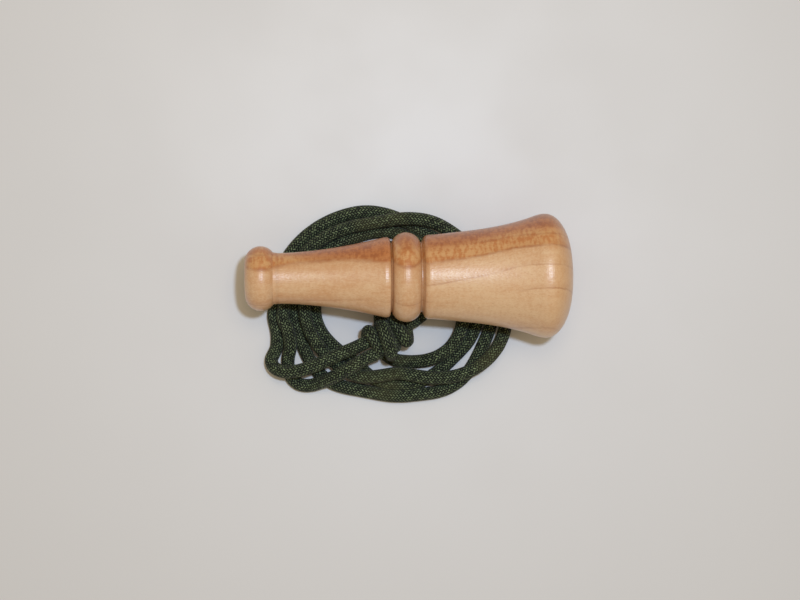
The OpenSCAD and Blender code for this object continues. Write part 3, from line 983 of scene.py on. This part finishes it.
    def step(self, angle: np.ndarray) -> np.ndarray:
        """Spacing of the strands seen from above, at angles in degrees."""
        off = (angle - self.nest_at + 180) % 360 - 180
        away = smooth(np.where(off > 0, off / self.nest_before, -off / self.nest_after))
        return self.pitch * (1 - self.nest_share * (1 - away))

    def strands_off(self, turns: np.ndarray) -> np.ndarray:
        """Least distance, in strands, from the upper leg to the lower one below it."""
        least = np.full_like(turns, 9.0)  # more than any two strands lie apart
        for k in range(-2, 3):
            for reach in (-self.ride_reach, 0.0, self.ride_reach):
                below = turns + reach + k
                off = np.abs(self.place(turns + reach, Leg.UPPER) - self.place(below, Leg.LOWER))
                # The lower leg's lead and its link count too, for a short way past its ends.
                there = (below >= -0.15) & (below <= self.turns[Leg.LOWER][1] + 0.1)
                least = np.where(there, np.minimum(least, off), least)
        return least

    def leg(self, leg: Leg) -> np.ndarray:
        """Draws one leg from its outer to its inner end.

        Args:
            leg: The leg.

        Returns:
            Its points, in millimetres.
        """
        first, last = self.turns[leg]
        turns = np.linspace(first, last, round((last - first) * self.points_per_turn) + 1)
        angle = self.start - 360 * turns
        lean = np.radians(angle - self.tilt)
        ring = self.half_length * self.half_width / np.hypot(
            self.half_width * np.cos(lean), self.half_length * np.sin(lean))
        step, place = self.step(angle), self.place(turns, leg)
        radius = ring + (self.middle - place - self.crowd_share * place**2) * step
        lift = np.zeros_like(turns)
        if leg is Leg.UPPER:
            off = self.strands_off(turns) * step
            lift = self.ride_share * np.sqrt(np.maximum(0.0, self.pitch**2 - off**2))
            window = np.hanning(self.ride_points + 2)
            padded = np.pad(lift, self.ride_points // 2, mode="edge")
            lift = np.convolve(padded, window[1:-1] / window.sum(), mode="valid")
        turn = np.radians(angle)
        return np.stack([
            self.centre[0] + radius * np.cos(turn), self.centre[1] + radius * np.sin(turn),
            self.base - AXIS_HEIGHT + lift,
        ], 1)

    def right_turn(self, points: np.ndarray, to: float, count: int) -> np.ndarray:
        """Carries a leg round to the right, to a heading, on a flat arc.

        Args:
            points: The leg.
            to: The heading to turn to, in degrees.
            count: How many points the arc gets.

        Returns:
            The arc's points.
        """
        ahead = points[-1] - points[-2]
        heading = math.degrees(math.atan2(ahead[1], ahead[0]))
        by = -((heading - to + 720) % 360)
        lean = math.radians(heading)
        centre = points[-1] + self.link_r * np.array([math.sin(lean), -math.cos(lean), 0.0])
        angles = np.radians(heading + by * np.arange(1, count + 1) / count)
        return centre + self.link_r * np.stack([-np.sin(angles), np.cos(angles), 0 * angles], 1)

    def lead(self, route: Sequence[Point], leg: np.ndarray) -> np.ndarray:
        """Draws a lead from the knot to the outer end of its leg."""
        away = unit(leg[0] - leg[1])
        last = leg[0] + away * 2 * self.cord_r
        return spline([*over_table(route), last + away * self.cord_r, last], self.lead_steps)

    def neck_line(self) -> np.ndarray:
        """Draws the whole neck cord from the knot and back to it."""
        lower, upper = self.leg(Leg.LOWER), self.leg(Leg.UPPER)
        first = self.right_turn(lower, -90.0, self.lower_link_points)
        back = self.right_turn(upper, 90.0, self.upper_link_points)
        return np.concatenate([
            self.lead(self.lead_a, lower), lower, first, back[::-1], upper[::-1],
            self.lead(self.lead_b, upper)[::-1],
        ])

    def knot_line(self) -> np.ndarray:
        """Draws the wraps of the double overhand knot."""
        lean = math.radians(self.knot_lean)
        along = np.array([math.cos(lean), math.sin(lean), 0.0])
        across = np.array([-math.sin(lean), math.cos(lean), 0.0])
        up = np.array([0.0, 0.0, self.wrap_height_share])
        centre = over_table([self.knot_at])[0]
        points = []
        for i in range(self.wrap_steps + 1):
            share = i / self.wrap_steps
            turn = math.radians(self.wrap_start + self.wrap_angle * share)
            slide = self.wrap_from + self.wrap_run * share
            wrap = self.wrap_r + self.wrap_swell * math.sin(math.pi * share)
            points.append(centre + slide * along + wrap * (math.cos(turn) * across + math.sin(turn) * up))
        return np.array(points)

    def build_neck_cord(self, tube: Tube) -> None:
        """Args:
            tube: The kind of tube to sweep.
        """
        piece, line = tube.build("neck_cord", self.neck_line())
        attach(piece, BARREL)
        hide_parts("lanyard_coil", "lanyard_lead_a", "lanyard_lead_b")

    def build_bight(self, tube: Tube) -> None:
        """Args:
            tube: The kind of tube to sweep.
        """
        route = spline(over_table(self.bight), self.bight_steps)
        piece, line = tube.build("eye_bight", route, self.bight_braid)
        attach(piece, BARREL)
        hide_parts("lanyard_bight")

    def build_knot(self, tube: Tube) -> bpy.types.Object:
        """Ties the knot.

        Args:
            tube: The kind of tube to sweep.

        Returns:
            The knot.
        """
        piece, _ = tube.build("knot", self.knot_line(), self.knot_braid)
        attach(piece, BARREL)
        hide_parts("lanyard_knot")
        LOG.info("knot")
        return piece

    def build_cut_end(self, tube: Tube, knot: bpy.types.Object) -> None:
        """Leads the cut end out of the knot. It is too short to be declared as a cord.

        Args:
            tube: The kind of tube to sweep.
            knot: The knot that holds it.
        """
        route = spline(over_table(self.tail), self.tail_steps)
        stub, line = tube.build("cut_end", route, self.tail_braid)
        stub.data.materials.append(FusedPolyester().make())
        tip, reach = Vector(line[-1]) * MM, math.hypot(self.cord_r, self.melt) * MM
        for face in stub.data.polygons:
            face.material_index = int((face.center - tip).length < reach)
        stub.parent = knot
        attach(stub, BARREL)
        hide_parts("lanyard_tail")
        LOG.info("cut end")

    def build(self) -> None:
        """Makes the whole lanyard."""
        tube = Tube(self.cord_r, self.braid, BraidedPolyester(braid=self.braid).make())
        knot = self.build_knot(tube)
        self.build_cut_end(tube, knot)
        self.build_neck_cord(tube)
        self.build_bight(tube)


class Call:
    """The turned mouthpiece and barrel, the sound unit inside them and the screw eye."""

    def dress(self, node: str, material: bpy.types.Material) -> None:
        """Gives a carried-over part its finish.

        Args:
            node: The part's name in the frame.
            material: Its finish.
        """
        piece = bpy.data.objects[node]
        piece.data.materials.clear()
        piece.data.materials.append(material)
        LOG.info("%s in %s", node, material.name)

    def build(self) -> None:
        """Dresses every part of the call."""
        cherry = LacqueredCherry().make()
        self.dress("mouthpiece", cherry)
        self.dress("barrel", cherry)
        self.dress("reed_block", TurnedMaple().make())
        self.dress("tenon_rings", MouldedRubber().make())
        self.dress("tone_trough", WorkedBrass("brass_tube_milled", Pattern(0.3, 6.0)).make())
        self.dress("tongue", WorkedBrass("brass_strip_rolled", Pattern(0.2, 9.0), roughness=0.24).make())
        self.dress("screw_eye", WorkedBrass("brass_wire_bent", Pattern(4.0, 4.0), roughness=0.28).make())
        self.dress("wedge", PressedCork().make())


def main() -> None:
    """Builds every sub-assembly in order."""
    logging.basicConfig(level=logging.INFO, format="%(message)s")
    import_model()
    Studio().build()
    Lanyard().build()
    Call().build()


if __name__ == "__main__":
    main()
